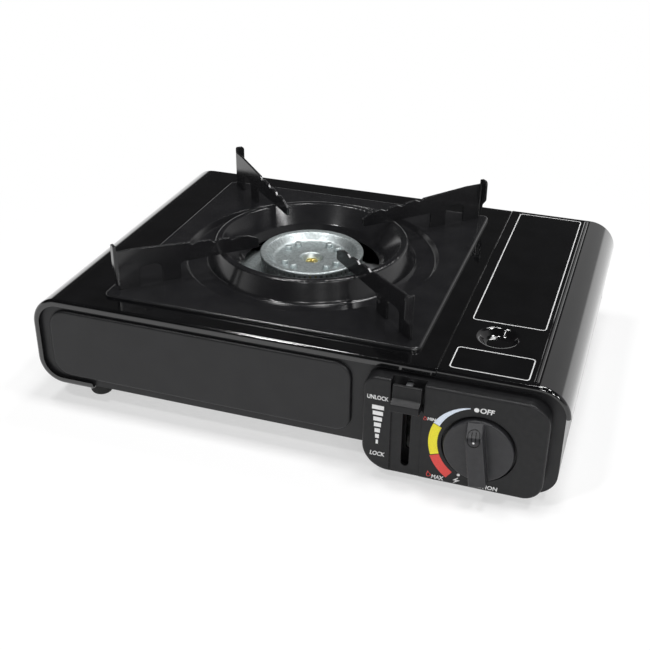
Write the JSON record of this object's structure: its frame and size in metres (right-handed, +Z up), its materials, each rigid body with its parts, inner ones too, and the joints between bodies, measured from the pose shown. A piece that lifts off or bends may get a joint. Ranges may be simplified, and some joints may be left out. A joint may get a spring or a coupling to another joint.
{
  "type": "portable butane stove",
  "caption": "Single-burner tabletop camping stove for a nozzle gas cartridge: black steel body, square drip tray with pan supports, hinged cartridge lid, front knob and lock lever.",
  "frame": {"origin": "centre of the stove's footprint on the table, under the middle of its overall width and depth", "axes": "+X to the right along the front, towards the cartridge bay; +Y from the front with the knob to the back; +Z up"},
  "size_m": [0.3519, 0.2702, 0.112],
  "materials": {
    "gloss_enamel": "gloss black enamel over sheet steel",
    "satin_panel": "satin black paint with a raised smooth panel",
    "tray_enamel": "gloss black vitreous enamel",
    "pan_grey": "mottled satin grey sheet under the stove",
    "zinc_steel": "bright zinc plated steel",
    "burner_steel": "galvanised pressed steel",
    "spring_steel": "bare spring steel",
    "black_plastic": "fine grained black plastic",
    "knob_plastic": "semi-gloss black plastic",
    "grey_plastic": "plain grey plastic",
    "brass": "machined brass",
    "cast_zinc": "die cast, bare",
    "aluminium": "bare bent strip",
    "rubber_black": "soft black rubber",
    "ceramic": null,
    "wire_white": "silicone wire insulation"
  },
  "bodies": {
    "stove": {"body_shell": "gloss_enamel", "base_pan": "pan_grey", "front_panel": "satin_panel", "back_panel": "satin_panel", "back_screws": "zinc_steel", "partition": "zinc_steel", "lid_hinge_bracket": "zinc_steel", "lid_hinge_pin": "zinc_steel", "cartridge_saddle_front": "grey_plastic", "cartridge_saddle_rear": "grey_plastic", "cartridge_spring": "spring_steel", "heat_plate": "aluminium", "regulator_body": "cast_zinc", "regulator_diaphragm": "rubber_black", "regulator_cap": "cast_zinc", "regulator_bracket": "zinc_steel", "inlet_seal": "rubber_black", "igniter_body": "grey_plastic", "ignition_wire": "wire_white", "electrode_ceramic": "ceramic", "electrode_rod": "spring_steel", "gas_pipe": "aluminium", "injector": "brass", "injector_bracket": "zinc_steel", "mixing_tube": "burner_steel", "air_shutter": "burner_steel", "burner_bracket": "burner_steel", "burner_base": "burner_steel", "burner_head": "burner_steel", "burner_cap": "burner_steel", "burner_screw": "brass", "control_panel": "black_plastic", "panel_screws": "zinc_steel", "fork_studs": "zinc_steel", "foot_front_left": "rubber_black", "foot_rear_left": "rubber_black", "foot_front_right": "rubber_black", "foot_rear_right": "rubber_black"},
    "lid": {"cartridge_lid": "gloss_enamel"},
    "tray": {"drip_tray": "tray_enamel", "pan_support_rear_right": "tray_enamel", "pan_support_rear_left": "tray_enamel", "pan_support_front_left": "tray_enamel", "pan_support_front_right": "tray_enamel"},
    "knob": {"control_knob": "knob_plastic", "valve_spindle": "brass", "igniter_cam": "grey_plastic"},
    "plunger": {"igniter_plunger": "zinc_steel"},
    "lever": {"lock_lever": "black_plastic", "lock_slider": "zinc_steel"},
    "fork": {"lock_fork": "zinc_steel"}
  },
  "joints": [
    {"name": "lid_hinge", "type": "hinge", "parent": "stove", "child": "lid", "pos_m": [0.134, 0.1301, 0.073], "axis": [-1, 0, 0], "range_deg": [0, 90]},
    {"name": "tray_lift", "type": "slide", "parent": "stove", "child": "tray", "axis": [0, 0, 1], "range_m": [0, 0.06]},
    {"name": "knob_turn", "type": "hinge", "parent": "stove", "child": "knob", "pos_m": [0.1266, -0.1199, 0.0351], "axis": [0, -1, 0], "range_deg": [0, 150]},
    {"name": "plunger_slide", "type": "slide", "parent": "stove", "child": "plunger", "axis": [0, 0, 1], "range_m": [0, 0.0041]},
    {"name": "lever_slide", "type": "slide", "parent": "stove", "child": "lever", "axis": [0, 0, -1], "range_m": [0, 0.041]},
    {"name": "fork_slide", "type": "slide", "parent": "stove", "child": "fork", "axis": [0, -1, 0], "range_m": [0, 0.0051]}
  ],
  "couplings": [
    {"joint": "plunger_slide", "follows": "knob_turn", "m_per_rad": 0.0015279},
    {"joint": "fork_slide", "follows": "lever_slide", "ratio": 0.12195}
  ]
}
